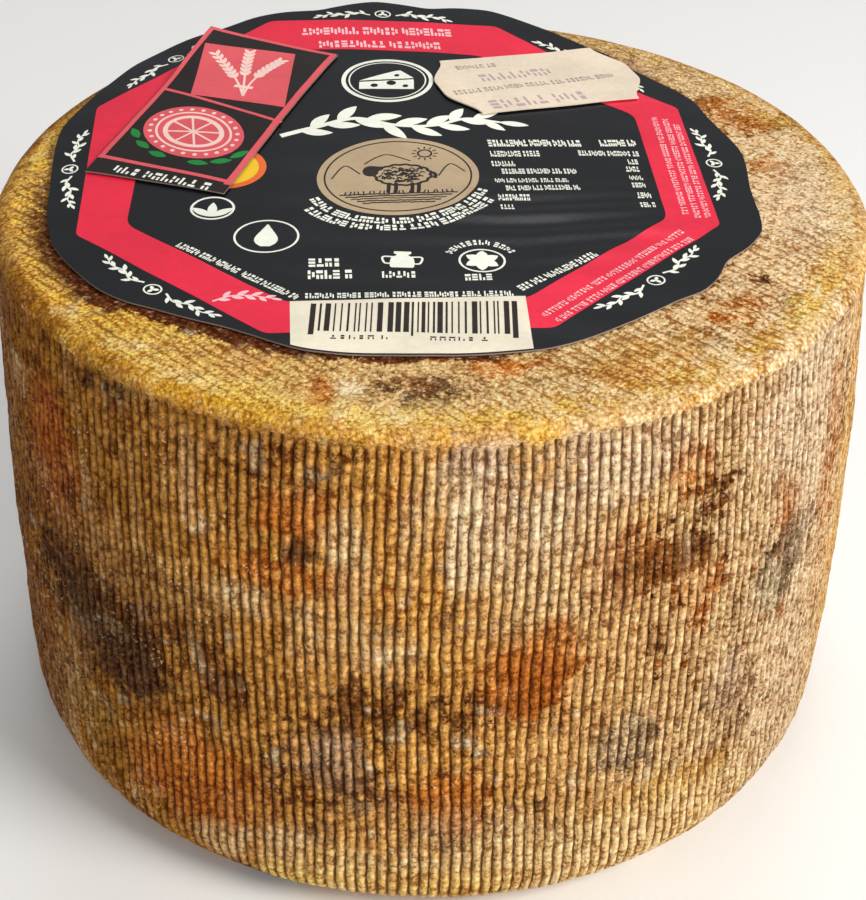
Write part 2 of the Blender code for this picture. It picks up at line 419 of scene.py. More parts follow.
def spinProfile(name, rows, steps):
    # One vertex is extruded along the outline, which is then spun round the axis.
    bpy.ops.mesh.primitive_plane_add(size=mm)
    piece = namedPiece(name)
    startEdit(piece)
    bpy.ops.mesh.merge(type="CENTER")
    bpy.ops.transform.translate(value=(rows[0][0], 0.0, rows[0][1]))
    for before, after in zip(rows, rows[1:]):
        step = (after[0] - before[0], 0.0, after[1] - before[1])
        bpy.ops.mesh.extrude_region_move(TRANSFORM_OT_translate={"value": step})
    bpy.ops.mesh.select_all(action="SELECT")
    bpy.ops.mesh.spin(steps=steps, angle=2 * math.pi, center=(0, 0, 0), axis=(0, 0, 1))
    bpy.ops.mesh.select_all(action="SELECT")
    bpy.ops.mesh.remove_doubles(threshold=0.002 * mm)
    bpy.ops.mesh.normals_make_consistent(inside=False)
    endEdit()
    return piece


def patchColour(colour, kind, share):
    target = np.array(rindColours[kind])
    return colour + (target - colour) * share[:, None]


def layOver(layer, kind, share):
    # Lays one kind of colour over a layer, which holds its colour and how much of the rind it covers.
    colour, cover = layer
    share = share[:, None]
    kept = cover[:, None] * (1 - share)
    mixed = (colour * kept + np.array(rindColours[kind]) * share) / np.maximum(kept + share, 1e-4)
    return np.where(share + kept > 1e-4, mixed, colour), (kept + share)[:, 0]


def aroundTone(tones, sideways):
    stops, colours = zip(*tones)
    wrapped = (sideways + 180.0) % 360.0 - 180.0
    return np.stack([np.interp(wrapped, stops, band) for band in zip(*colours)], axis=1)


def paintRind(points, turn, drop):
    # The ground colour of each point in soft clouds, and the layer of patches over it.
    sideways = np.degrees(turn)
    streak = points * np.array([1.0, 1.0, 0.20])
    clouds = 0.6 * softNoise(points, 22 * mm, 1) + 0.4 * softNoise(points, 8 * mm, 2)
    noises = np.stack([clouds, softNoise(streak, 1.9 * mm, 3), softNoise(points, 2.4 * mm, 9),
                       softNoise(points, 3.1 * mm, 10)])

    def wash(strength, low, high, shares):
        return strength * smoothStep(low, high, np.array(shares) @ noises)

    onTop = (drop <= 0)[:, None]
    ground = np.where(onTop, aroundTone(topTones, sideways), aroundTone(sideTones, sideways))
    for kind, *shape in groundWashes:
        ground = patchColour(ground, kind, wash(*shape))
    layer = (ground, np.zeros(len(points)))
    for kind, *shape in layerWashes:
        layer = layOver(layer, kind, wash(*shape))
    edge = 0.30 * softNoise(points, 7 * mm, 4) + 0.24 * softNoise(streak, 2.2 * mm, 5)
    edge += 0.16 * softNoise(points, 1.6 * mm, 12)
    for kind, patchTurn, patchDrop, wide, tall, strength in rindPatches + backPatches():
        around = (sideways - patchTurn + 180.0) % 360.0 - 180.0
        reach = np.hypot(np.radians(around) * wheel["rim"] / mm / wide, (drop / mm - patchDrop) / tall)
        share = strength * smoothStep(1.55, 0.40, reach + edge)
        ground = patchColour(ground, kind, 0.62 * share)
        layer = layOver(layer, kind, share)
    return ground, paintEdges(layer, points, sideways, drop)


def paintEdges(layer, points, sideways, drop):
    # A mustard band on the rim, a yellow one inside it, and dark umber rind along the label's edge,
    # strongest at the front left.
    wander = 1.5 * softNoise(points, 9 * mm, 6) + 1.1 * softNoise(points, 2.2 * mm, 7)
    blotch = 0.85 + 0.55 * softNoise(points, 2.6 * mm, 8)
    rimBand = bell(drop / mm + wander, -0.4, 2.8)
    deep = 0.24 + 0.58 * bell(sideways, -27.0, 22.0) + 0.30 * bell(sideways, 9.0, 14.0)
    inBand = bell(drop / mm + wander, -3.6, 3.2)
    light = 0.28 + 0.50 * bell(sideways, -12.0, 30.0) + 0.20 * bell(sideways, 55.0, 25.0)
    layer = layOver(layer, "yellow", np.clip(inBand * light * blotch, 0.0, 1.0))
    layer = layOver(layer, "mustard", np.clip(rimBand * deep * blotch, 0.0, 1.0))
    beyond = beyondLabel(points[:, 0], points[:, 1]) / mm + 1.2 * softNoise(points, 2.5 * mm, 13)
    umberShare = 0.20 + 0.74 * smoothStep(24.0, 2.0, sideways) * smoothStep(-100.0, -62.0, sideways)
    wide = 1.7 + 2.2 * smoothStep(-16.0, -34.0, sideways)
    near = smoothStep(wide, 0.3 * wide, beyond) * (drop <= 0)
    return layOver(layer, "umber", near * umberShare)


# Washes in soft noise: colour, strength, the noise's low and high, and its shares of the
# clouds, streaks, flecks and spots.
groundWashes = (("brown", 0.36, 0.10, 0.85, (-1, -0.50, 0, 0)), ("pale", 0.36, 0.10, 0.90, (1, 0.55, 0, 0)))
layerWashes = (
    ("brown", 0.48, 0.05, 0.75, (-1, -0.40, 0, 0)), ("pale", 0.42, 0.10, 0.80, (1, 0.50, 0, 0)),
    ("orange", 0.40, 0.30, 0.75, (0.4, 0, 1, 0)), ("dark", 0.36, 0.40, 0.85, (-0.3, 0, -1, 0)),
    ("cream", 0.42, 0.45, 0.80, (0, 0, 0, 1)),
)


def backPatches():
    # The unseen side gets patches of the same kinds, drawn at random from a fixed seed.
    draw = random.Random(11)
    kinds = "rust orange dark brown brown olive lilac grey cream beige golden".split()
    patches = []
    for _ in range(58):
        turn = draw.uniform(98, 262)
        drop = draw.choice((draw.uniform(4, 98), draw.uniform(4, 98), draw.uniform(-16, -2)))
        if drop < 0:
            turn = draw.uniform(132, 246)
        wide = draw.uniform(4, 13)
        tall = draw.uniform(3, 11) if drop > 0 else draw.uniform(2.5, 6)
        patches.append((draw.choice(kinds), turn, drop, wide, tall, draw.uniform(0.35, 0.8)))
    return patches


def dropFromRim(radius, height):
    # Distance in metres from the rim: down the side when positive, in over the top when negative.
    onTop = (height > wheel["height"] - 0.05 * mm) | (radius < wheel["rim"] - wheel["lipInset"])
    inwards = -(wheel["rim"] - radius)
    down = wheel["height"] - height
    return np.where(onTop & (height > 0.5 * wheel["height"]), inwards, down)


def makeRind():
    rows = rindProfile()
    columns = wheel["ribs"] * rind["columnsPerRib"]
    piece = spinProfile("rind", rows, columns)
    points = readPoints(piece)
    radius = np.hypot(points[:, 0], points[:, 1])
    height = points[:, 2].copy()
    angle = np.arctan2(points[:, 1], points[:, 0])
    turn = angle + math.pi / 2
    drop = dropFromRim(radius, height)
    pole = radius < 1e-6

    # The three columns of a rib: a groove, then two shoulders drawn close to it.
    column = np.round((angle / (2 * math.pi)) * columns).astype(int)
    place = column % rind["columnsPerRib"]
    pitch = 2 * math.pi / wheel["ribs"]
    shoulder = (1 / 3 - rind["grooveHalfWidth"]) * pitch
    angle = angle + np.where(place == 1, -shoulder, 0.0) + np.where(place == 2, shoulder, 0.0)
    ribNumber = np.floor(column / rind["columnsPerRib"])

    ragged = 0.8 * mm * softNoise(points, 2.4 * mm, 21) + 0.6 * mm * softNoise(points, 14 * mm, 22)
    belowLip = smoothStep(wheel["lipDrop"], 1.35 * wheel["lipDrop"], drop + ragged)
    aboveFoot = smoothStep(0.0, 0.35 * wheel["footRound"], height)
    onSide = belowLip * aboveFoot
    deep = 1.0 + 0.35 * softNoise(points * np.array([1, 1, 0.3]), 4 * mm, 23)
    groove = np.where(place == 0, 1.0, 0.0)
    inwards = wheel["ribDepth"] * groove * deep * onSide

    # Beads that the cloth's cross threads left along each rib, and slower lumps.
    threads = np.stack([ribNumber * 7.0 * mm, np.zeros(len(points)), height], axis=1)
    ribSpot = angle / (2 * math.pi) * wheel["ribs"]
    beads = softNoise(threads, 0.95 * mm, 24) * (1 - 0.5 * groove)
    lumps = softNoise(points, 9 * mm, 25) + 0.5 * softNoise(points, 4 * mm, 26)
    outwards = rind["beads"] * beads * onSide + rind["lumps"] * lumps * aboveFoot

    wave = np.sin(2 * angle + 0.7) + 0.6 * np.sin(5 * angle + 40 * height)
    swing = wheel["sideWave"] * wave * smoothStep(0.0, wheel["rim"], radius) * (height > 1e-5)
    wander = np.sin(3 * angle + 55 * height) * smoothStep(0.0, 0.25 * wheel["height"], height)
    shiver = (0.16 * softNoise(points, 3.2 * mm, 27) + 0.12 * softNoise(threads, 2.2 * mm, 30)) * mm * onSide
    shownOut = radius + swing - inwards + outwards * np.where(drop > 0, 1.0, 0.0)
    angle = angle + (wheel["ribWander"] * wander + shiver) / wheel["rim"] * (height > 1e-5)
    shownOut = np.where(pole, 0.0, shownOut)
    x = shownOut * np.cos(angle)
    y = shownOut * np.sin(angle)

    grain = softNoise(points, 2.1 * mm, 28) + 0.6 * softNoise(points, 1.1 * mm, 29)
    bare = smoothStep(-0.5 * mm, 1.5 * mm, beyondLabel(x, y))
    top = (drop <= 0) * bare * (rind["topGrain"] * grain + 0.5 * rind["lumps"] * lumps)
    nearTop = smoothStep(0.7 * wheel["height"], wheel["height"], height)
    z = height + topRise(x, y) * nearTop + top
    writePoints(piece, np.stack([x, y, np.where(height < 1e-5, 0.0, z)], axis=1))

    addRindPaint(piece, points, turn, drop, belowLip * aboveFoot)
    addRibMap(piece, ribSpot, height)
    piece.data.materials.append(rindFinish())
    makeActive(piece)
    bpy.ops.object.shade_smooth()
    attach(piece, "root")
    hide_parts("cheese_wheel")
    print("rind:", len(piece.data.polygons), "faces")


def wovenShare(points, turn, drop):
    # Where the top still shows the rows of the cloth, most of all at the left.
    sideways = np.degrees(turn)
    strong = 0.45 * bell(sideways, -62.0, 34.0) + 0.22 * bell(sideways, 40.0, 20.0)
    cloud = 0.55 + 0.5 * softNoise(points, 12 * mm, 41) + 0.25 * softNoise(points, 4 * mm, 42)
    return np.clip(cloud * 0.45 + strong, 0.0, 1.0) * smoothStep(-1.5 * mm, -4.0 * mm, drop)


def addRindPaint(piece, points, turn, drop, ribbed):
    ground, (patches, cover) = paintRind(points, turn, drop)
    solid = np.ones((len(points), 1))
    for name, colour in (("rindPaint", ground), ("rindPatches", patches)):
        paint = piece.data.attributes.new(name, "FLOAT_COLOR", "POINT")
        paint.data.foreach_set("color", np.hstack([np.clip(colour, 0.0, 1.0), solid]).ravel())
    woven = wovenShare(points, turn, drop)
    for name, share in (("patchCover", cover), ("ribbed", ribbed), ("woven", woven)):
        mask = piece.data.attributes.new(name, "FLOAT", "POINT")
        mask.data.foreach_set("value", share)


def readAll(items, name):
    values = np.empty(len(items), dtype=np.int64)
    items.foreach_get(name, values)
    return values


def addRibMap(piece, across, height):
    # One unit across the map is one rib, one unit up is one centimetre.
    mesh = piece.data
    corners = readAll(mesh.loops, "vertex_index")
    starts = readAll(mesh.polygons, "loop_start")
    owner = np.repeat(np.arange(len(starts)), readAll(mesh.polygons, "loop_total"))
    away = across[corners] - across[corners][starts][owner]
    turns = np.where(away > 0.5 * wheel["ribs"], -1, 0) + np.where(away < -0.5 * wheel["ribs"], 1, 0)
    layer = mesh.uv_layers.new(name="ribMap")
    uv = np.stack([across[corners] + turns * wheel["ribs"], height[corners] * 100.0], axis=1)
    layer.data.foreach_set("uv", uv.ravel())


def rindFinish():
    look = {
        "slow": 140.0, "coarse": 420.0, "fine": 1700.0,     # noises, from broad to narrow
        "crumb": 1350.0,
        "crumbWarp": 0.4 * mm,
        "bead": 1.30,                                       # length along a rib, mm
        "sway": 0.34,                                       # of a rib's pitch
        "grooveWidth": (0.12, 0.30),
        "weave": (1.4 * mm, 1.9 * mm),
        "weaveTurn": -43.5,
        # Colour factors: painted shade for crevices on the top and the side, painted shade for grooves, and
        # painted highlights with their floor and limit.
        "topPitShade": (0.44, 0.31, 0.18), "sidePitShade": (0.34, 0.21, 0.105),
        "grooveShade": (0.20, 0.11, 0.05),
        "paintedHighlight": (1.65, 1.85, 2.30), "paintedHighlightFloor": (0.035, 0.022, 0.010), "paintedHighlightLimit": (0.96, 0.84, 0.60),
        "dust": (0.86, 0.71, 0.46),
        "roughness": (0.72, 0.46),
        "specular": 0.03,
        "relief": 0.45 * mm,
    }
    finish = Nodes("rindFinish", look["roughness"][0])
    maths, ramp, mix, noise, vary = finish.maths, finish.ramp, finish.mix, finish.noise, finish.vary
    ground, patches = [finish.attribute(name, "Color") for name in ("rindPaint", "rindPatches")]
    cover, ribbed, woven = [finish.attribute(name, "Fac") for name in ("patchCover", "ribbed", "woven")]
    place = finish.objectPlace()
    coarse = noise(place, look["coarse"], 4.0, 0.65)
    fine = noise(place, look["fine"], 3.0, 0.7)
    slow = noise(place, look["slow"], 2.0)
    across, up = finish.split(finish.add("ShaderNodeUVMap", uv_map="ribMap").outputs["UV"])

    # Grooves lie at whole numbers of the map. They sway, and are wide here and choked there.
    sway = maths("SUBTRACT", noise(place, 330.0, 2.0), 0.5)
    across = maths("ADD", across, maths("MULTIPLY", sway, look["sway"]))
    offGroove = finish.fromHalf(maths("ADD", across, 0.5))
    width = ramp(noise(place, 620.0, 2.0), 0.30, 0.70, *look["grooveWidth"])
    unchoked = ramp(slow, 0.66, 0.56, 0.35, 1.0)
    groove = maths("MULTIPLY", maths("MULTIPLY", ramp(offGroove, width, 0.02), ribbed), unchoked)
    crown = maths("MULTIPLY", maths("SINE", maths("MULTIPLY", offGroove, math.pi)), ribbed)

    # Lumps: beads along a rib, crumb on the top.
    beadPlace = finish.add("ShaderNodeCombineXYZ")
    finish.plug(maths("SUBTRACT", across, 0.25), beadPlace.inputs[0])
    finish.plug(maths("MULTIPLY", up, 10.0 / look["bead"]), beadPlace.inputs[1])
    bead, beadTone = finish.cells(beadPlace.outputs[0], 1.0, 0.6)
    shifted = finish.add("ShaderNodeVectorMath", operation="MULTIPLY_ADD")
    warp = finish.texture("Noise", place, Scale=700.0)["Color"]
    for source, socket in zip((warp, (look["crumbWarp"],) * 3, place), shifted.inputs):
        finish.plug(source, socket)
    crumb, crumbTone = finish.cells(shifted.outputs[0], look["crumb"])
    lump = mix(ribbed, ramp(crumb, 0.85, 0.22), ramp(bead, 0.75, 0.10), kind="FLOAT")
    tone = mix(ribbed, crumbTone, beadTone, kind="FLOAT")

    # Rows of the cloth on the top: dark lines between the threads, fainter ones across them.
    x, y = finish.split(place)
    turn = math.radians(look["weaveTurn"])
    wobble = maths("MULTIPLY_ADD", slow, 1.1, maths("MULTIPLY", coarse, 0.45))
    lines = []
    for size, first, second in ((look["weave"][0], math.cos(turn), math.sin(turn)),
                                (look["weave"][1], -math.sin(turn), math.cos(turn))):
        along = maths("ADD", maths("MULTIPLY", x, first), maths("MULTIPLY", y, second))
        along = maths("MULTIPLY_ADD", along, 1.0 / size, wobble)
        lines.append(ramp(finish.fromHalf(along), 0.26, 0.47))
    thread = maths("MULTIPLY", maths("MULTIPLY_ADD", lines[0], 0.35, lines[1]), woven)

    # Patches take or leave whole grains, so that their edges are ragged.
    limit = vary(vary(maths("MULTIPLY_ADD", tone, 0.36, 0.32), coarse, 1.5), fine, 0.7)
    limit = maths("MINIMUM", maths("MAXIMUM", limit, 0.17), 0.88)
    paint = mix(ramp(maths("SUBTRACT", cover, limit), -0.17, 0.17), ground, patches)

    # How light each spot is: lumps lighter in the middle and darker at their edges, with each grain's own
    # random tone and noise, and darker along the cloth's rows. From that comes painted shade in the
    # crevices, plain rind, or painted highlights on the lumps' tops.
    light = maths("MULTIPLY_ADD", lump, 0.36, maths("MULTIPLY", tone, 0.20))
    light = vary(vary(light, coarse, 1.15), fine, 1.5)
    light = maths("MULTIPLY_ADD", thread, -0.62, light)
    # The first colour below is painted shade for low spots; the next two make the painted highlight colour
    # for high spots.
    deep = finish.times(paint, mix(ribbed, look["topPitShade"], look["sidePitShade"]))
    paintedHighlight = mix(1.0, finish.times(paint, look["paintedHighlight"]), look["paintedHighlightFloor"], "ADD")
    paintedHighlight = mix(1.0, paintedHighlight, look["paintedHighlightLimit"], "DARKEN")
    colour = mix(ramp(light, 0.28, -0.08, 0.0, 0.90), paint, deep)
    colour = mix(ramp(light, 0.28, 0.66, 0.0, 0.85), colour, paintedHighlight)
    # Pale specks of dust, coloured half like the painted highlight and half dusty cream.
    dust = maths("MULTIPLY", ramp(finish.cells(place, 2300.0)[1], 0.90, 0.93),
                 ramp(noise(place, 95.0, 3.0), 0.46, 0.66, 0.10, 0.75))
    colour = mix(dust, colour, mix(0.5, paintedHighlight, look["dust"]))
    # Painted shade darkens the grooves between the ribs.
    colour = mix(maths("MULTIPLY", groove, 0.88), colour, finish.times(paint, look["grooveShade"]))
    finish.give("Base Color", colour)

    relief = maths("MULTIPLY_ADD", light, 0.8, maths("MULTIPLY", groove, -0.5))
    finish.bump(maths("MULTIPLY_ADD", crown, 0.9, relief), look["relief"])
    finish.give("Roughness", ramp(fine, 0.3, 0.7, *look["roughness"]))
    finish.give("Specular IOR Level", look["specular"])
    return finish.material


# Papers: the round label, the square tag and the date sticker lie one over the other

paper = {
    "gap": 0.30 * mm,
    "thick": 0.25 * mm,
    "backCurl": 2.6 * mm,
    "curlStarts": 40.6 * mm,
    "curlLength": 27.0 * mm,
    "fold": 0.22 * mm,
    "foldAt": (22.0, -14.0),
    "inkLift": 0.02 * mm,
    "inkStep": 0.03 * mm,
    "inkThick": 0.02 * mm,
}


def labelUnder(x, y):
    out = np.hypot(x, y) / wheel["rim"]
    back = np.clip((y - paper["curlStarts"]) / paper["curlLength"], 0.0, 1.0)
    flat = wheel["height"] + wheel["crown"] * (1 - out ** 2) + swelling(x, y)
    return flat + paper["backCurl"] * back ** 2 + paper["gap"] + folds(x / mm, y / mm)


def folds(x, y):
    # Soft level folds, most of them right of the label's middle.
    wave = np.sin(2 * math.pi * (y - 0.10 * x + 0.9 * np.sin(x / 8.0)) / 7.2)
    near = np.exp(-((x - paper["foldAt"][0]) / 21.0) ** 2 - ((y - paper["foldAt"][1]) / 12.0) ** 2)
    slow = 0.30 * np.sin(0.23 * x + 0.31 * y) * np.sin(0.17 * x - 0.26 * y + 1.0)
    return paper["fold"] * (wave * near + slow)


def labelFace(x, y):
    return labelUnder(x, y) + paper["thick"]


# Marks of ink. Each mark is a small grid of points in millimetres, rows of (x, y).

def strokeMark(path, width, closed=False):
    path = np.array(path, float)
    if closed:
        ahead = np.roll(path[:-1], -1, axis=0) - np.roll(path[:-1], 1, axis=0)
        ahead = np.concatenate([ahead, ahead[:1]])
    else:
        ahead = np.gradient(path, axis=0)
    side = np.stack([-ahead[:, 1], ahead[:, 0]], axis=1)
    side = side / np.maximum(np.hypot(side[:, 0], side[:, 1]), 1e-9)[:, None]
    half = 0.5 * np.broadcast_to(width, len(path))[:, None]
    return np.stack([path - side * half, path + side * half])


def bandMark(outer, inner, rows):
    return np.stack([outer + (inner - outer) * share for share in np.linspace(0.0, 1.0, rows)])


def discMark(outer, rows):
    return bandMark(outer, np.broadcast_to(outer[:-1].mean(axis=0), outer.shape), rows)


def quadMark(corners, columns, rows):
    # Corners in turn: bottom left, bottom right, top right, top left.
    bottomLeft, bottomRight, topRight, topLeft = np.array(corners, float)
    across = np.linspace(0.0, 1.0, columns)[None, :, None]
    up = np.linspace(0.0, 1.0, rows)[:, None, None]
    bottom = bottomLeft + (bottomRight - bottomLeft) * across
    return bottom + (topLeft + (topRight - topLeft) * across - bottom) * up


def smoothPath(knots, steps=6):
    # Catmull-Rom curve through the knots.
    knots = np.array(knots, float)
    knots = np.concatenate([2 * knots[:1] - knots[1:2], knots, 2 * knots[-1:] - knots[-2:-1]])
    path = []
    for k in range(1, len(knots) - 2):
        before, start, end, after = knots[k - 1:k + 3]
        square = 2 * before - 5 * start + 4 * end - after
        cube = 3 * (start - end) + after - before
        for t in np.arange(steps) / steps:
            path.append(start + 0.5 * t * (end - before + t * (square + t * cube)))
    return np.array(path + [knots[-2]])


def roundOutline(centre, across, up, points=72):
    # Closed ellipse from its centre and its two half axes.
    turn = np.linspace(0.0, 2 * math.pi, points + 1)[:, None]
    return np.array(centre) + np.cos(turn) * np.array(across) + np.sin(turn) * np.array(up)


def circle(centre, wide, tall=None, points=72):
    return roundOutline(centre, (wide, 0.0), (0.0, tall or wide), points)


def polar(degrees):
    return np.array([math.cos(math.radians(degrees)), math.sin(math.radians(degrees))])


def placed(pairs, square):
    # From a square two units wide to a slanted one on the label: its middle and two half sides.
    middle, across, up = np.array(square)
    pairs = np.array(pairs, float)
    return middle + pairs[..., :1] * across + pairs[..., 1:] * up


def cornerOutline(corners, soft, edgeSteps):
    # Closed outline through the corners, each corner rounded off over the distance soft.
    corners = np.array(corners, float)
    path = []
    for k in range(len(corners)):
        before, corner, after = corners[k - 1], corners[k], corners[(k + 1) % len(corners)]
        enter = corner + (before - corner) * soft / np.linalg.norm(before - corner)
        leave = corner + (after - corner) * soft / np.linalg.norm(after - corner)
        for t in np.linspace(0.0, 1.0, 5):
            path.append((1 - t) ** 2 * enter + 2 * t * (1 - t) * corner + t ** 2 * leave)
        nextEnter = after + (corner - after) * soft / np.linalg.norm(corner - after)
        for t in np.arange(1, edgeSteps) / edgeSteps:
            path.append(leave + (nextEnter - leave) * t)
    path.append(path[0])
    return np.array(path)


# Kinds of plain mark for a row of small print: blocks of left, bottom, right, top in a unit cell.
tickKinds = (
    ((0.0, 0.0, 0.26, 1.0), (0.50, 0.0, 0.76, 0.42)),
    ((0.0, 0.58, 0.28, 1.0), (0.0, 0.0, 0.28, 0.40), (0.50, 0.22, 0.76, 0.80)),
    ((0.0, 0.0, 0.76, 0.24), (0.0, 0.38, 0.76, 0.62), (0.0, 0.76, 0.76, 1.0)),
    ((0.0, 0.24, 0.26, 1.0), (0.50, 0.0, 0.76, 0.76)),
    ((0.0, 0.0, 0.76, 0.28), (0.22, 0.46, 0.52, 1.0)),
    ((0.0, 0.66, 0.76, 1.0), (0.0, 0.0, 0.28, 0.46), (0.50, 0.0, 0.76, 0.46)),
    ((0.12, 0.0, 0.62, 0.44), (0.12, 0.60, 0.62, 1.0)),
)


def tickMarks(path, tall, pitch, thick, draw):
    path = np.array(path, float)
    run = np.concatenate([[0.0], np.cumsum(np.hypot(*np.diff(path, axis=0).T))])
    marks = []
    spot = 0.0
    left = draw.randint(3, 9)
    fat = thick / (0.26 * pitch)
    while spot < run[-1] - 0.6 * pitch:
        here, there = [np.array([np.interp(s, run, path[:, 0]), np.interp(s, run, path[:, 1])])
                       for s in (spot, spot + 0.4 * pitch)]
        ahead = (there - here) / max(np.linalg.norm(there - here), 1e-9)
        up = np.array([-ahead[1], ahead[0]])
        for low, bottom, high, top in draw.choice(tickKinds):
            grow = 0.5 * (fat - 1.0) * min(high - low, 0.26)
            ends = [here + ahead * pitch * share for share in (low - grow, high + grow)]
            marks.append(quadMark([ends[0] + up * tall * bottom, ends[1] + up * tall * bottom,
                                   ends[1] + up * tall * top, ends[0] + up * tall * top], 2, 2))
        spot += pitch
        left -= 1
        if left == 0:
            spot += 0.45 * pitch
            left = draw.randint(3, 9)
    return marks


def leafMark(foot, direction, length, width, bend=0.0):
    t = np.linspace(0.0, 1.0, 9)
    ahead = np.array([math.cos(direction), math.sin(direction)])
    side = np.array([-ahead[1], ahead[0]])
    path = np.array(foot) + t[:, None] * length * ahead + (t ** 2)[:, None] * bend * length * side
    return strokeMark(path, width * np.sin(math.pi * np.clip(0.04 + 0.95 * t, 0, 1)) ** 0.85 + 0.04)


def sprigMarks(knots, stem, leaves, length, width):
    # A stem with a leaf to either side in turn, and one at its tip.
    path = smoothPath(knots, 10)
    ahead = np.gradient(path, axis=0)
    turn = np.arctan2(ahead[:, 1], ahead[:, 0])
    marks = [strokeMark(path, stem * np.linspace(1.15, 0.55, len(path)))]
    for k, at in enumerate(np.linspace(0.10, 0.93, leaves)):
        spot = int(at * (len(path) - 1))
        side = 1 if k % 2 else -1
        size = 1.0 - 0.45 * abs(at - 0.42)
        lean = turn[spot] + side * 0.72
        marks.append(leafMark(path[spot], lean, length * size, width * size, -0.16 * side))
    marks.append(leafMark(path[-1], turn[-1], length * 0.8, width * 0.7))
    return marks


def addGrid(mark):
    bpy.ops.mesh.primitive_grid_add(x_subdivisions=mark.shape[1] - 1, y_subdivisions=mark.shape[0] - 1)


def drapedPiece(name, marks, face, lift=0.0):
    # One piece of all the marks, laid over a face.
    addGrid(marks[0])
    piece = namedPiece(name)
    startEdit(piece)
    for mark in marks[1:]:
        addGrid(mark)
    endEdit()
    flat = np.concatenate([mark.reshape(-1, 2) for mark in marks]) * mm
    writePoints(piece, np.column_stack([flat, face(flat[:, 0], flat[:, 1]) + lift]))
    return piece


def stampInk(name, marks, face, level, ink):
    piece = drapedPiece(name, marks, face, paper["inkLift"] + paper["inkStep"] * level)
    startEdit(piece)
    bpy.ops.mesh.remove_doubles(threshold=0.001 * mm)
    bpy.ops.mesh.dissolve_degenerate(threshold=0.0005 * mm)
    endEdit()
    finishPaper(piece, paper["inkThick"], ink)


def finishPaper(piece, thick, ink, cutEdge=None):
    solid = piece.modifiers.new("thickness", "SOLIDIFY")
    solid.thickness = thick
    solid.offset = 1.0
    solid.material_offset_rim = 1 if cutEdge else 0
    for finish in filter(None, (ink, cutEdge)):
        piece.data.materials.append(finish)
    makeActive(piece)
    bpy.ops.object.modifier_apply(modifier=solid.name)
    for layer in list(piece.data.uv_layers):
        piece.data.uv_layers.remove(layer)
    bpy.ops.object.shade_smooth_by_angle(angle=math.radians(40))
    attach(piece, "root")


def inkFinish(name, colour):
    look = {"roughness": 0.27, "specular": 0.24, "dents": 0.05 * mm}
    finish = Nodes(name, look["roughness"])
    place = finish.objectPlace()
    patchy = finish.ramp(finish.noise(place, 90.0), 0.30, 0.70, 0.93, 1.05)
    specks = finish.ramp(finish.noise(place, 900.0, 2.0), 0.25, 0.75, 0.96, 1.03)
    tint = finish.add("ShaderNodeCombineColor")
    for socket in tint.inputs:
        finish.plug(finish.maths("MULTIPLY", patchy, specks), socket)
    finish.give("Base Color", finish.times(colour, tint.outputs[0]))
    finish.bump(finish.noise(place, 260.0), look["dents"])
    finish.give("Specular IOR Level", look["specular"])
    return finish.material


inkColours = {
    "night": (0.0058, 0.0068, 0.0090),
    "coal": (0.011, 0.0075, 0.0065),
    "pink": (0.76, 0.020, 0.056),
    "rose": (0.88, 0.52, 0.55),
    "white": (0.86, 0.88, 0.78),
    "tan": (0.45, 0.335, 0.205),
    "soot": (0.018, 0.012, 0.009),
    "cream": (0.79, 0.73, 0.58),
    "yellow": (0.81, 0.52, 0.020),
    "amber": (0.74, 0.14, 0.025),
    "red": (0.71, 0.098, 0.118),
    "blush": (0.90, 0.62, 0.56),
    "green": (0.006, 0.22, 0.040),
    "sticker": (0.76, 0.645, 0.505),
    "greyInk": (0.34, 0.29, 0.25),
    "mauveInk": (0.48, 0.36, 0.37),
    "cutEdge": (0.30, 0.23, 0.19),
}


def makeInks():
    return {name: inkFinish(name + "Ink", colour) for name, colour in inkColours.items()}


# Round label

roundLabel = {
    "centre": (-4.8 * mm, 5.7 * mm),
    "radius": 61.6 * mm,
    "rings": 48,
    "segments": 320,
    "print": (-6.84, 5.59),       # middle of the print, mm
    "printTurn": 3.84,
    "printOut": 58.7,
    "badge": ((-8.95, 33.9), (8.8, 1.3), (-0.25, 9.2)),     # middle and two half axes, mm
    "medal": ((-6.15, -0.9), (14.1, 1.8), (-0.5, 12.8)),
    "sun": ((-36.0, 0.6), 6.1),
}

# Radius of the label's wavy edge in mm, by angle in degrees round its middle.
edgeKnots = (
    (0, 60.6), (8, 61.2), (16, 60.4), (22, 60.2), (29, 61.6), (38, 60.6), (44, 60.5), (51, 61.6),
    (56, 61.1), (62, 62.0), (69, 62.6), (76, 63.5), (82, 62.2), (87, 60.2), (92, 61.3), (97, 62.5),
    (103, 61.4), (108, 60.4), (114, 62.0), (120, 62.7), (126, 62.4), (133, 63.3), (145, 64.0), (153, 63.3),
    (160, 63.4), (170, 64.0), (177, 63.0), (183, 62.4), (190, 62.4), (198, 63.6), (207, 65.0), (214, 64.8),
    (222, 64.8), (227, 63.8), (231, 62.2), (236, 61.3), (243, 60.2), (248, 60.4), (256, 61.8), (262, 61.6),
    (268, 61.2), (275, 61.2), (283, 62.0), (291, 62.8), (298, 62.5), (304, 62.0), (310, 61.7), (315, 61.9),
    (320, 63.3), (325, 62.8), (330, 61.4), (335, 63.0), (341, 64.0), (345, 63.0), (351, 61.2), (356, 60.5),
)


def labelEdge(turn):
    angles = np.arange(0.0, 360.0, 0.5)
    radii = np.interp(angles, [knot[0] for knot in edgeKnots], [knot[1] for knot in edgeKnots], period=360.0)
    reach = np.arange(-8, 9)
    weights = np.exp(-(reach / 3.2) ** 2)
    smooth = sum(weight * np.roll(radii, step) for step, weight in zip(reach, weights)) / weights.sum()
    return np.interp(np.degrees(turn) % 360.0, angles, smooth, period=360.0) * mm


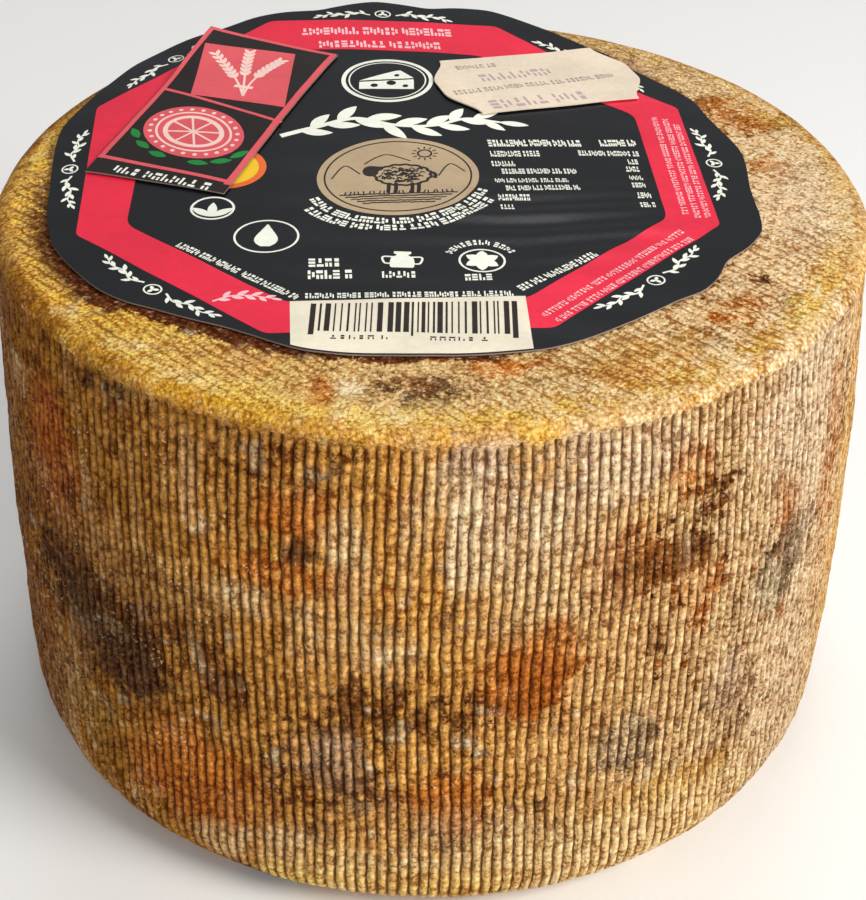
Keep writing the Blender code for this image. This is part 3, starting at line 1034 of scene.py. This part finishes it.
def beyondLabel(x, y):
    # How far a spot lies outside the label's edge, metres, less than nothing under the label.
    away = (x - roundLabel["centre"][0], y - roundLabel["centre"][1])
    return np.hypot(*away) - labelEdge(np.arctan2(away[1], away[0]))


def makeLabelPaper(inks):
    rings = roundLabel["rings"]
    spoke = [(share / rings, 0.0) for share in range(rings + 1)]
    piece = spinProfile("labelPaper", spoke, roundLabel["segments"])
    points = readPoints(piece)
    share = np.hypot(points[:, 0], points[:, 1])
    turn = np.arctan2(points[:, 1], points[:, 0])
    edge = share * (roundLabel["radius"] + (labelEdge(turn) - roundLabel["radius"]) * share ** 4)
    x = roundLabel["centre"][0] + edge * np.cos(turn)
    y = roundLabel["centre"][1] + edge * np.sin(turn)
    writePoints(piece, np.column_stack([x, y, labelUnder(x, y)]))
    if sum(face.normal.z for face in piece.data.polygons) < 0:
        piece.data.flip_normals()
    finishPaper(piece, paper["thick"], inks["night"], inks["cutEdge"])
    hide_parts("round_label")
    print("label paper:", len(piece.data.polygons), "faces")


def octagonCorners():
    turns = roundLabel["printTurn"] + 22.5 + 45.0 * np.arange(8)
    return [roundLabel["print"] + roundLabel["printOut"] * polar(turn) for turn in turns]


# Where the inner edge of the pink band turns, mm, in step with the corners of its outer edge.
bandTurns = ((37.3, 27.4), (8.6, 48.2), (-26.0, 45.6), (-52.4, 22.0),
             (-51.4, -17.4), (-23.0, -41.2), (15.0, -38.7), (39.9, -11.6))


def lowerEdge(x):
    # Height on the label's plane of its lower edge, a little inside it, mm.
    y = np.full(len(x), -55.0)
    centre = np.array(roundLabel["centre"]) / mm
    for _ in range(5):
        reach = labelEdge(np.arctan2(y - centre[1], x - centre[0])) / mm - 0.35
        y = centre[1] - np.sqrt(reach ** 2 - (x - centre[0]) ** 2)
    return y


def codeSheet():
    # The pale field under the bars runs down to the label's own edge.
    sheet = quadMark([(-21.5, -53.8), (15.7, -53.5), (14.9, -37.9), (-22.4, -40.9)], 30, 13)
    top, bottom = sheet[-1], sheet[0].copy()
    bottom[:, 1] = np.maximum(lowerEdge(bottom[:, 0]), -56.4)
    up = np.linspace(0.0, 1.0, 13)[:, None, None]
    return bottom + (top - bottom) * up


# Lines of small print: start, end, height, pitch and thickness of the strokes, mm.
whiteLines = (
    ((9.9, 11.0), (27.6, 13.5), 2.4, 0.80, 0.30), ((30.2, 13.9), (36.8, 14.7), 2.4, 0.80, 0.30),
    ((10.2, 7.5), (19.3, 8.6), 1.9, 0.62, 0.19), ((26.0, 9.8), (37.0, 10.7), 1.9, 0.62, 0.19),
    ((10.3, 4.1), (14.4, 4.6), 1.8, 0.62, 0.19), ((34.8, 7.4), (36.8, 7.6), 1.8, 0.62, 0.19),
    ((12.1, 1.5), (25.4, 3.0), 1.8, 0.60, 0.19), ((34.2, 4.7), (36.8, 4.9), 1.8, 0.62, 0.19),
    ((10.8, -1.5), (23.6, -0.2), 1.3, 0.60, 0.16), ((34.6, 1.7), (36.9, 1.9), 1.6, 0.62, 0.17),
    ((12.7, -4.2), (25.8, -2.9), 1.8, 0.60, 0.19), ((34.8, -1.2), (37.2, -1.0), 1.8, 0.62, 0.19),
    ((11.3, -7.5), (17.2, -7.0), 1.8, 0.62, 0.19), ((35.5, -4.7), (38.0, -4.5), 1.8, 0.62, 0.19),
    ((11.6, -10.6), (13.9, -10.4), 1.8, 0.62, 0.19), ((35.7, -8.1), (38.3, -7.9), 1.8, 0.62, 0.19),
    ((-20.0, -30.5), (-13.3, -30.0), 2.5, 1.35, 0.42), ((-19.9, -34.1), (-13.1, -33.6), 2.5, 1.35, 0.42),
    ((-8.0, -33.4), (-1.6, -33.1), 1.9, 1.15, 0.34), ((5.4, -33.7), (10.2, -33.4), 1.9, 1.15, 0.34),
    ((-42.4, -24.4), (-31.9, -32.4), 1.5, 0.80, 0.24), ((-31.0, -33.1), (-21.4, -40.6), 1.5, 0.80, 0.24),
    ((-20.1, -39.9), (13.7, -37.9), 1.5, 0.80, 0.24), ((14.6, -36.3), (27.4, -24.9), 1.6, 0.85, 0.26),
)
roseLines = (
    ((-26.1, 52.2), (4.8, 55.3), 2.9, 1.42, 0.46), ((-22.4, 46.6), (2.1, 49.3), 2.9, 1.45, 0.46),
    ((40.4, 27.0), (42.7, -10.0), 1.1, 0.85, 0.17), ((42.4, 26.5), (44.7, -11.0), 1.1, 0.85, 0.17),
    ((44.3, 24.5), (46.5, -11.0), 1.1, 0.85, 0.17),
    ((41.5, -15.5), (17.0, -43.3), 1.2, 0.85, 0.18), ((42.9, -17.6), (18.9, -44.9), 1.2, 0.85, 0.18),
)


def borderMarks():
    # A small ring of leaves between two sprigs repeats on each of the eight sides.
    marks = []
    middle, out = np.array(roundLabel["print"]), 57.2
    for side in range(8):
        facing = roundLabel["printTurn"] + 90.0 + 45.0 * side
        ring = middle + out * polar(facing)
        oval = roundOutline(ring, 1.5 * polar(facing + 90.0), 1.35 * polar(facing), 28)
        marks.append(strokeMark(oval, 0.28, True))
        marks += [leafMark(ring, math.radians(facing + lean), 1.1, 0.6) for lean in (0, 120, 240)]
        for way in (-1, 1):
            knots = [middle + (out + lift) * polar(facing + way * turn) for turn, lift in
                     ((2.6, -0.5), (5.2, 0.5), (7.8, -0.3), (10.4, 0.4), (12.6, 0.0))]
            marks += sprigMarks(knots, 0.34, 9, 2.0, 0.75)
    return marks


def wedgeBadge():
    # A cut wedge of cheese with holes, in a round double ring.
    badge = roundLabel["badge"]
    rings = [bandMark(placed(circle((0, 0), outer), badge), placed(circle((0, 0), inner), badge), 2)
             for outer, inner in ((0.98, 0.89), (0.83, 0.80))]
    side = ((-0.60, -0.40), (0.56, -0.40), (0.56, 0.02), (-0.60, -0.10))
    top = ((-0.60, -0.04), (0.56, 0.08), (0.28, 0.44), (0.18, 0.42))
    wedge = [quadMark(placed(side, badge), 12, 5), quadMark(placed(top, badge), 12, 4)]
    spots = ((-0.28, -0.25, 0.70), (0.08, -0.14, 0.90), (0.38, -0.27, 0.55), (0.20, 0.20, 0.50))
    holes = [discMark(roundOutline(placed((u, v), badge), (size, 0.1), (0.0, size), 16), 3)
             for u, v, size in spots]
    return rings + wedge, holes


def medalPicture(draw):
    # One sheep on a meadow, with hills behind it and a low sun over them.
    marks = []

    def line(pairs, width, closed=False):
        marks.append(strokeMark(placed(pairs, roundLabel["medal"]), width, closed))

    line(circle((0, 0), 0.905, points=96), 0.30, True)
    wool = 1 + 0.08 * np.abs(np.sin(7.5 * np.linspace(0, 2 * math.pi, 97)))[:, None]
    line((0.06, 0.02) + wool * circle((0, 0), 0.33, 0.25, 96), 0.55, True)
    for _ in range(62):
        t, far = draw.uniform(0, 2 * math.pi), 0.92 * math.sqrt(draw.random())
        u, v = 0.06 + 0.30 * far * math.cos(t), 0.02 + 0.22 * far * math.sin(t)
        curl = [(u - 0.035, v), (u - 0.01, v + 0.035), (u + 0.03, v + 0.005)]
        line(smoothPath(curl, 4), draw.uniform(0.24, 0.42))
    for leg in (-0.12, -0.03, 0.17, 0.25):
        line([(leg, -0.18), (leg, -0.30), (leg - 0.01, -0.44)], 0.66)
    marks.append(discMark(placed(circle((-0.34, 0.13), 0.10, 0.13, 20), roundLabel["medal"]), 3))
    line([(-0.30, 0.22), (-0.18, 0.20)], 0.8)
    line(smoothPath([(0.40, 0.08), (0.46, 0.02), (0.45, -0.08)], 4), 0.7)
    slope = smoothPath([(0, 0), (0.3, 0.8), (0.55, 1), (1, 0.3)])
    for foot, size in (((-0.82, -0.02), (0.35, 0.30)), ((-0.42, 0.31), (0.58, 0.24)),
                       ((0.50, -0.02), (0.33, 0.30))):
        line(foot + slope * size, 0.26)
    line(circle((0.34, 0.58), 0.085, 0.095, 24), 0.34, True)
    for ray in range(0, 360, 30):
        line([(0.34, 0.58) + out * polar(ray) * (1.0, 1.1) for out in (0.115, 0.165)], 0.24)
    for u in np.linspace(-0.66, 0.66, 23):
        line([(u, -0.47), (u + draw.uniform(-0.03, 0.03), -0.38)], 0.24)
    for row in range(5):
        low, reach = -0.46 - 0.055 * row, 0.72 - 0.07 * row
        ragged = [(u, low + draw.uniform(-0.010, 0.010)) for u in np.linspace(-reach, reach, 26)]
        line(ragged, 0.22 + draw.uniform(0.0, 0.14))
    return marks


def medalRows(draw):
    # Two curved rows of small print under the medallion.
    marks = []
    for out, start, end in ((16.7, 206, 343), (19.1, 214, 331)):
        turns = np.radians(np.linspace(start, end, 40))
        arc = np.stack([np.cos(turns), 0.93 * np.sin(turns) + 0.12 * np.cos(turns)], axis=1)
        marks += tickMarks(roundLabel["medal"][0] + out * arc, 1.75, 1.32, 0.42, draw)
    return marks


def smallSigns(draw):
    # A sprout, a drop, a churn and a flower.
    sprout, drop, churn, flower = (-37.4, -12.4), (-27.6, -21.2), -4.9, (8.15, -27.4)
    marks = [strokeMark(circle(sprout, 3.6, 3.5, 40), 0.42, True)]
    marks += [leafMark((sprout[0], sprout[1] - 2.6), math.radians(lean), 4.4, 1.6) for lean in (38, 90, 142)]
    marks.append(strokeMark(circle(drop, 5.3, 4.9, 56), 0.36, True))
    marks.append(strokeMark([(drop[0], low) for low in np.linspace(-24.2, -17.6, 9)],
                            [1.6, 3.2, 3.9, 3.9, 3.4, 2.6, 1.8, 1.0, 0.3]))
    lows = (-30.2, -29.8, -28.2, -27.1, -26.5, -26.2, -25.8, -25.2)
    marks.append(strokeMark([(churn, low) for low in lows], [3.5, 4.0, 4.0, 3.6, 2.1, 1.9, 2.9, 2.8]))
    handle = smoothPath([(1.5, -26.9), (3.2, -27.0), (2.9, -28.8), (1.9, -29.0)])
    marks += [strokeMark((churn, 0.0) + handle * (side, 1.0), 0.36) for side in (-1, 1)]
    marks.append(strokeMark(circle(flower, 3.7, 3.5, 40), 0.36, True))
    marks += [leafMark(flower, math.radians(turn), 3.0, 1.9) for turn in range(30, 360, 60)]
    arc = [flower + polar(math.degrees(t)) * (5.3, 5.0) for t in np.linspace(2.75, 0.40, 24)]
    return marks + tickMarks(arc, 1.3, 0.95, 0.28, draw)


def codeBars(draw):
    # Bars drawn at random, which encode nothing, longer at both ends and in the middle.
    bars = []
    x = -19.0
    while x < 13.2:
        wide = draw.choice((0.24, 0.24, 0.34, 0.34, 0.58, 0.85))
        long = x < -17.6 or abs(x + 3.0) < 0.8 or x > 12.0
        foot = -50.3 if long else -49.2
        top = -41.5 + (x + 19.0) * 0.060
        bars.append(quadMark([(x, foot), (x + wide, foot), (x + wide, top), (x, top)], 2, 7))
        x += wide + draw.choice((0.36, 0.42, 0.58, 0.80))
    for start, end in ((-15.6, -5.6), (-0.2, 9.4)):
        bars += tickMarks([(start, -51.4), (end, -51.3)], 1.1, 1.45, 0.22, draw)
    return bars


def makeLabelPrint(inks):
    draw = random.Random(23)
    pink = bandMark(cornerOutline(octagonCorners(), 1.2, 30), cornerOutline(bandTurns, 2.2, 30), 9)
    medal, sun = roundOutline(*roundLabel["medal"], 96), circle(*roundLabel["sun"])
    white, holes = wedgeBadge()
    for start, end, *size in whiteLines:
        white += tickMarks([start, end], *size, draw)
    white += borderMarks() + medalRows(draw) + smallSigns(draw)
    white += sprigMarks([(-27.5, 11.4), (-21.5, 14.6), (-14.5, 18.2), (-7.0, 16.6), (0.0, 17.4), (6.0, 20.8),
                         (12.0, 20.4)], 1.05, 15, 6.6, 2.5)
    rose = sprigMarks([(-34.6, -41.0), (-31.8, -39.4), (-28.6, -39.2), (-25.4, -40.0)], 0.34, 8, 2.3, 0.9)
    for start, end, *size in roseLines:
        rose += tickMarks([start, end], *size, draw)
    plan = (
        ("pinkBand", [pink], 0, "pink"),
        ("medalField", [discMark(medal, 12)], 0, "tan"),
        ("sunField", [discMark(sun, 6)], 0, "yellow"),
        ("sunRim", [strokeMark(sun, 1.3, True)], 1, "amber"),
        ("whiteMarks", white, 0, "white"),
        ("roseMarks", rose, 1, "rose"),
        ("codeField", [codeSheet()], 1, "cream"),
        ("medalMarks", medalPicture(draw), 1, "soot"),
        ("badgeHoles", holes, 1, "night"),
        ("codeBars", codeBars(draw), 2, "soot"),
    )
    for name, marks, level, ink in plan:
        stampInk(name, marks, labelFace, level, inks[ink])
    print("label print:", len(plan), "inks,", len(white), "white marks")


# Square tag

tag = {
    "centre": (-39.8, 21.3),
    "size": (26.5, 54.0),
    "turn": math.radians(-18.5),
    "lift": 2.2 * mm,
    "seal": ((-43.2, 12.2), (9.2, -1.3), (-1.2, 9.2)),      # middle and two half axes
}


def flatSheet(sheet, columns, rows):
    wide, tall = sheet["size"][0] / 2, sheet["size"][1] / 2
    return quadMark([(-wide, -tall), (wide, -tall), (wide, tall), (-wide, tall)], columns, rows)


def turned(pairs, sheet):
    # From a sheet's own millimetres, measured from its middle, to the label's.
    cos, sin = math.cos(sheet["turn"]), math.sin(sheet["turn"])
    return placed(pairs, (sheet["centre"], (cos, sin), (-sin, cos)))


def tagUnder(x, y):
    away = (x / mm - tag["centre"][0], y / mm - tag["centre"][1])
    cos, sin = math.cos(tag["turn"]), math.sin(tag["turn"])
    u = away[0] * cos + away[1] * sin
    v = -away[0] * sin + away[1] * cos
    left = np.clip(0.5 - u / tag["size"][0], 0.0, 1.0)
    lift = tag["lift"] * left ** 2 * smoothStep(0.05, 0.50, v / tag["size"][1])
    return labelUnder(x, y) + 2 * paper["gap"] + lift


def tagFace(x, y):
    return tagUnder(x, y) + paper["thick"]


def makeTag(inks):
    draw = random.Random(31)
    piece = drapedPiece("tagPaper", [turned(flatSheet(tag, 23, 45), tag)], tagUnder)
    finishPaper(piece, paper["thick"], inks["coal"], inks["cutEdge"])
    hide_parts("square_tag")

    # Lines of the frame: three along the tag's own edges, two placed on the label.
    edges = [turned(ends, tag) for ends in (((-12.7, -22.2), (-12.7, 26.3)), ((12.6, -24.4), (12.6, 26.3)),
                                            ((-13.1, 26.4), (13.1, 26.4)))]
    edges += [((-59.2, 5.0), (-34.6, -5.2)), ((-50.9, 29.3), (-27.6, 15.0))]
    red = [strokeMark(np.linspace(*ends, points), width) for ends, points, width in
           zip(edges, (30, 30, 16, 16, 16), (0.95, 1.25, 0.95, 0.95, 0.75))]
    red.append(quadMark([(-45.2, 26.1), (-27.4, 20.5), (-26.8, 41.9), (-44.3, 44.8)], 14, 14))

    def sealRing(size):
        return placed(circle((0, 0), size, points=96), tag["seal"])

    red.append(discMark(sealRing(1.0), 8))
    blush = [strokeMark(sealRing(0.74), 0.45, True), strokeMark(sealRing(0.56), 0.9, True)]
    blush += [discMark(circle(spot, 0.42, points=10), 2) for spot in sealRing(0.87)[:-1:4]]
    for cut in range(4):
        blush.append(strokeMark(np.linspace(*sealRing(0.52)[[12 * cut, 12 * cut + 48]], 12), 0.42))
    for knots in (((-36.6, 29.5), (-38.6, 34.5), (-41.6, 40.4)),
                  ((-35.6, 30.0), (-35.7, 35.5), (-35.5, 41.2)),
                  ((-34.4, 29.5), (-32.4, 34.0), (-29.6, 38.0))):
        blush += earMarks(((-35.4, 24.8),) + knots)
    blush.append(strokeMark(np.linspace((-37.3, 28.8), (-33.8, 27.7), 4), 0.9))
    green = []
    wreath = sealRing(1.14)
    for side in (-1, 1):
        for around in (3, 9, 15):
            at = 67 + side * around
            ahead = side * (wreath[at + 1] - wreath[at])
            green.append(leafMark(wreath[at], math.atan2(ahead[1], ahead[0]), 3.8, 1.6))
    white = tickMarks([(-56.2, -0.7), (-38.4, -7.8)], 2.2, 1.75, 0.42, draw)
    plan = (("tagRed", red, 0, "red"), ("tagGreen", green, 0, "green"), ("tagBlush", blush, 1, "blush"),
            ("tagWhite", white, 0, "white"))
    for name, marks, level, ink in plan:
        stampInk(name, marks, tagFace, level, inks[ink])
    print("tag:", len(piece.data.polygons), "faces and", len(plan), "inks")


def earMarks(knots):
    # An ear of wheat: grains in pairs up a stalk.
    path = smoothPath(knots, 8)
    ahead = np.gradient(path, axis=0)
    turn = np.arctan2(ahead[:, 1], ahead[:, 0])
    marks = [strokeMark(path, 0.42)]
    for spot in range(len(path) // 2, len(path), 2):
        marks += [leafMark(path[spot], turn[spot] + side * 0.55, 2.0, 0.8) for side in (-1, 1)]
    return marks


# Date sticker

sticker = {
    "centre": (19.7, 38.5),
    "size": (32.0, 22.0),
    "turn": math.radians(21.7),
    "point": 4.2,
}


def stickerUnder(x, y):
    return labelUnder(x, y) + 2 * paper["gap"]


def stickerFace(x, y):
    return stickerUnder(x, y) + paper["thick"]


def makeSticker(inks):
    draw = random.Random(41)
    wide, tall = sticker["size"]
    sheet = flatSheet(sticker, 33, 33)
    u, v = sheet[..., 0], sheet[..., 1]
    bulge = sticker["point"] * smoothStep(0.0, 1.0, 1.25 * (1 - np.abs(v) / (tall / 2)))
    sheet[..., 0] = u + 2 * u / wide * bulge
    piece = drapedPiece("stickerPaper", [turned(sheet, sticker)], stickerUnder)
    finishPaper(piece, paper["thick"], inks["sticker"])
    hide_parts("date_sticker")
    grey = tickMarks([(4.2, 39.6), (11.8, 42.6)], 1.5, 1.0, 0.20, draw)
    grey += tickMarks([(3.9, 28.6), (35.2, 42.9)], 1.6, 0.98, 0.20, draw)
    mauve = tickMarks([(9.2, 35.4), (22.8, 41.6)], 2.9, 2.2, 0.42, draw)
    mauve += tickMarks([(11.0, 24.4), (30.9, 32.7)], 3.3, 2.4, 0.46, draw)
    stampInk("stickerGrey", grey, stickerFace, 0, inks["greyInk"])
    stampInk("stickerMauve", mauve, stickerFace, 0, inks["mauveInk"])
    print("sticker:", len(piece.data.polygons), "faces")


makeCamera()
makeFloor()
makeStudio()
print("studio ready")
makeRind()
inks = makeInks()
makeLabelPaper(inks)
makeLabelPrint(inks)
makeTag(inks)
makeSticker(inks)
